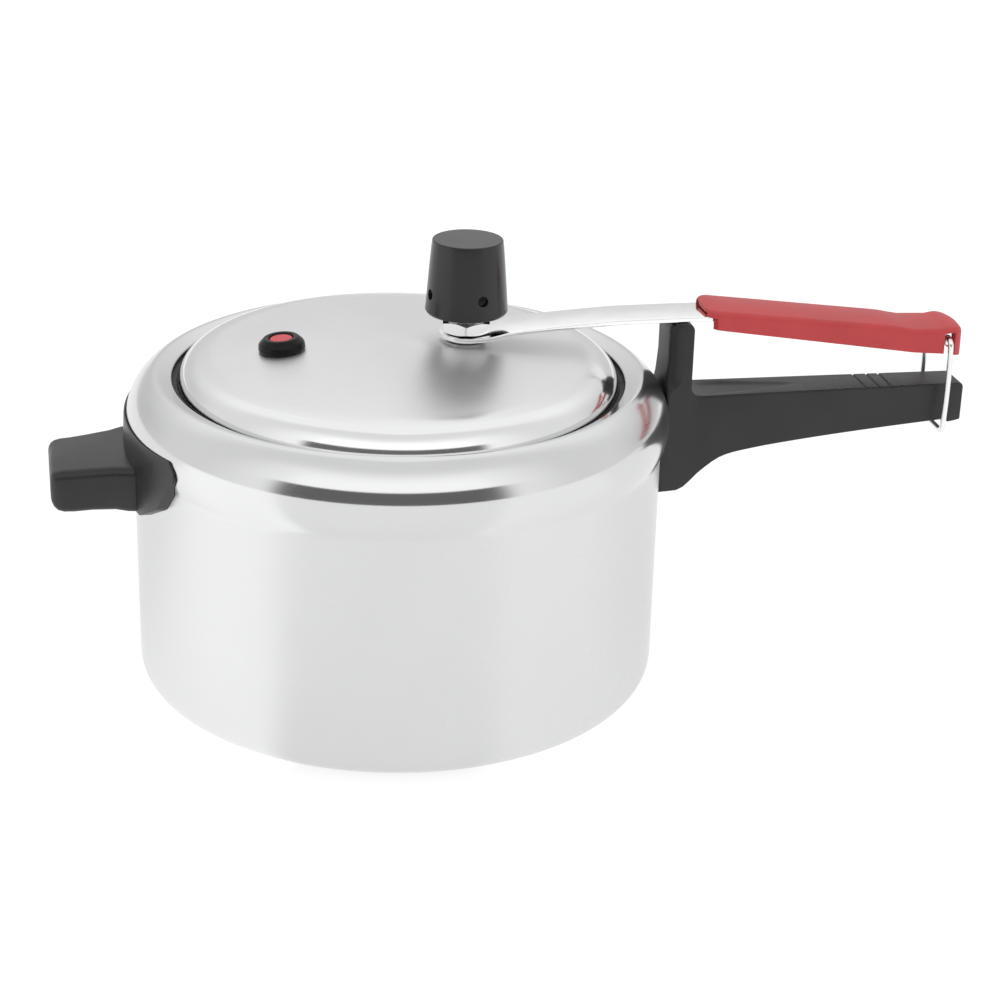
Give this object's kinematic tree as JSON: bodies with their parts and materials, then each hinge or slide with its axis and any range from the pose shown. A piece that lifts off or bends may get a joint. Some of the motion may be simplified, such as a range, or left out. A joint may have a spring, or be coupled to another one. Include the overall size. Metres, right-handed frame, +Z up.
{
  "type": "stovetop pressure cooker",
  "caption": "Polished aluminium stovetop pressure cooker with an inner domed lid, a sprung lever with a red grip, a wire bail latch, black handles and a regulator weight.",
  "frame": {"origin": "centre of the pot's flat base, on the surface that it stands on", "axes": "+Z up, +X along the long handle, +Y to the left seen from behind the short handle"},
  "size_m": [0.385, 0.2218, 0.1857],
  "materials": {
    "pot_aluminium": "mirror polished",
    "lid_aluminium": "mirror polished",
    "black_phenolic": "satin moulded, fine grain",
    "plated_steel": "bright plated",
    "rivet_aluminium": "headed, plain",
    "screw_steel": "zinc plated",
    "gasket_rubber": "smooth",
    "vent_brass": "nickel plated",
    "spring_steel": "bright polished",
    "red_plastic": "satin moulded",
    "bail_wire": "bright wire",
    "valve_rubber": "smooth, slight gloss",
    "red_silicone": "smooth",
    "weight_plastic": "satin moulded",
    "weight_steel": "turned"
  },
  "bodies": {
    "pot": {"pot_body": "pot_aluminium", "long_handle": "black_phenolic", "long_handle_bracket": "plated_steel", "long_handle_rivet_lower": "rivet_aluminium", "long_handle_rivet_upper": "rivet_aluminium", "long_handle_screw": "screw_steel", "short_handle": "black_phenolic", "short_handle_bracket": "plated_steel", "short_handle_rivet_left": "rivet_aluminium", "short_handle_rivet_right": "rivet_aluminium", "short_handle_screw": "screw_steel"},
    "lid_and_lever": {"lid_shell": "lid_aluminium", "lid_gasket": "gasket_rubber", "vent_pipe": "vent_brass", "vent_seal": "gasket_rubber", "arm_spacer": "plated_steel", "lever_nut": "plated_steel", "lever_arm": "spring_steel", "grip_sleeve": "red_plastic", "sleeve_screw": "screw_steel", "safety_valve_body": "valve_rubber", "safety_valve_nut": "plated_steel"},
    "bail": {"latch_bail": "bail_wire"},
    "clip": {"weight_clip": "bail_wire"},
    "weight": {"weight_cap": "weight_plastic", "weight_core": "weight_steel"},
    "pin": {"safety_pin": "red_silicone"}
  },
  "joints": [
    {"name": "lever_tilt", "type": "hinge", "parent": "pot", "child": "lid_and_lever", "pos_m": [0.1165, 0, 0.15001], "axis": [0, -1, 0], "range_deg": [0, 4.5]},
    {"name": "bail_swing", "type": "hinge", "parent": "lid_and_lever", "child": "bail", "pos_m": [0.2324, 0, 0.13871], "axis": [0, -1, 0], "range_deg": [0, 141]},
    {"name": "weight_spin", "type": "hinge", "parent": "lid_and_lever", "child": "clip", "pos_m": [0.0274, 0, 0.158], "axis": [0, 0, 1], "continuous": true},
    {"name": "weight_lift", "type": "slide", "parent": "clip", "child": "weight", "axis": [0, 0, 1], "range_m": [0, 0.028]},
    {"name": "safety_pin_rise", "type": "slide", "parent": "lid_and_lever", "child": "pin", "axis": [-0.0846, 0, 0.9964], "range_m": [0, 0.003]}
  ],
  "couplings": [
    {"joint": "bail_swing", "follows": "lever_tilt", "ratio": 31}
  ]
}
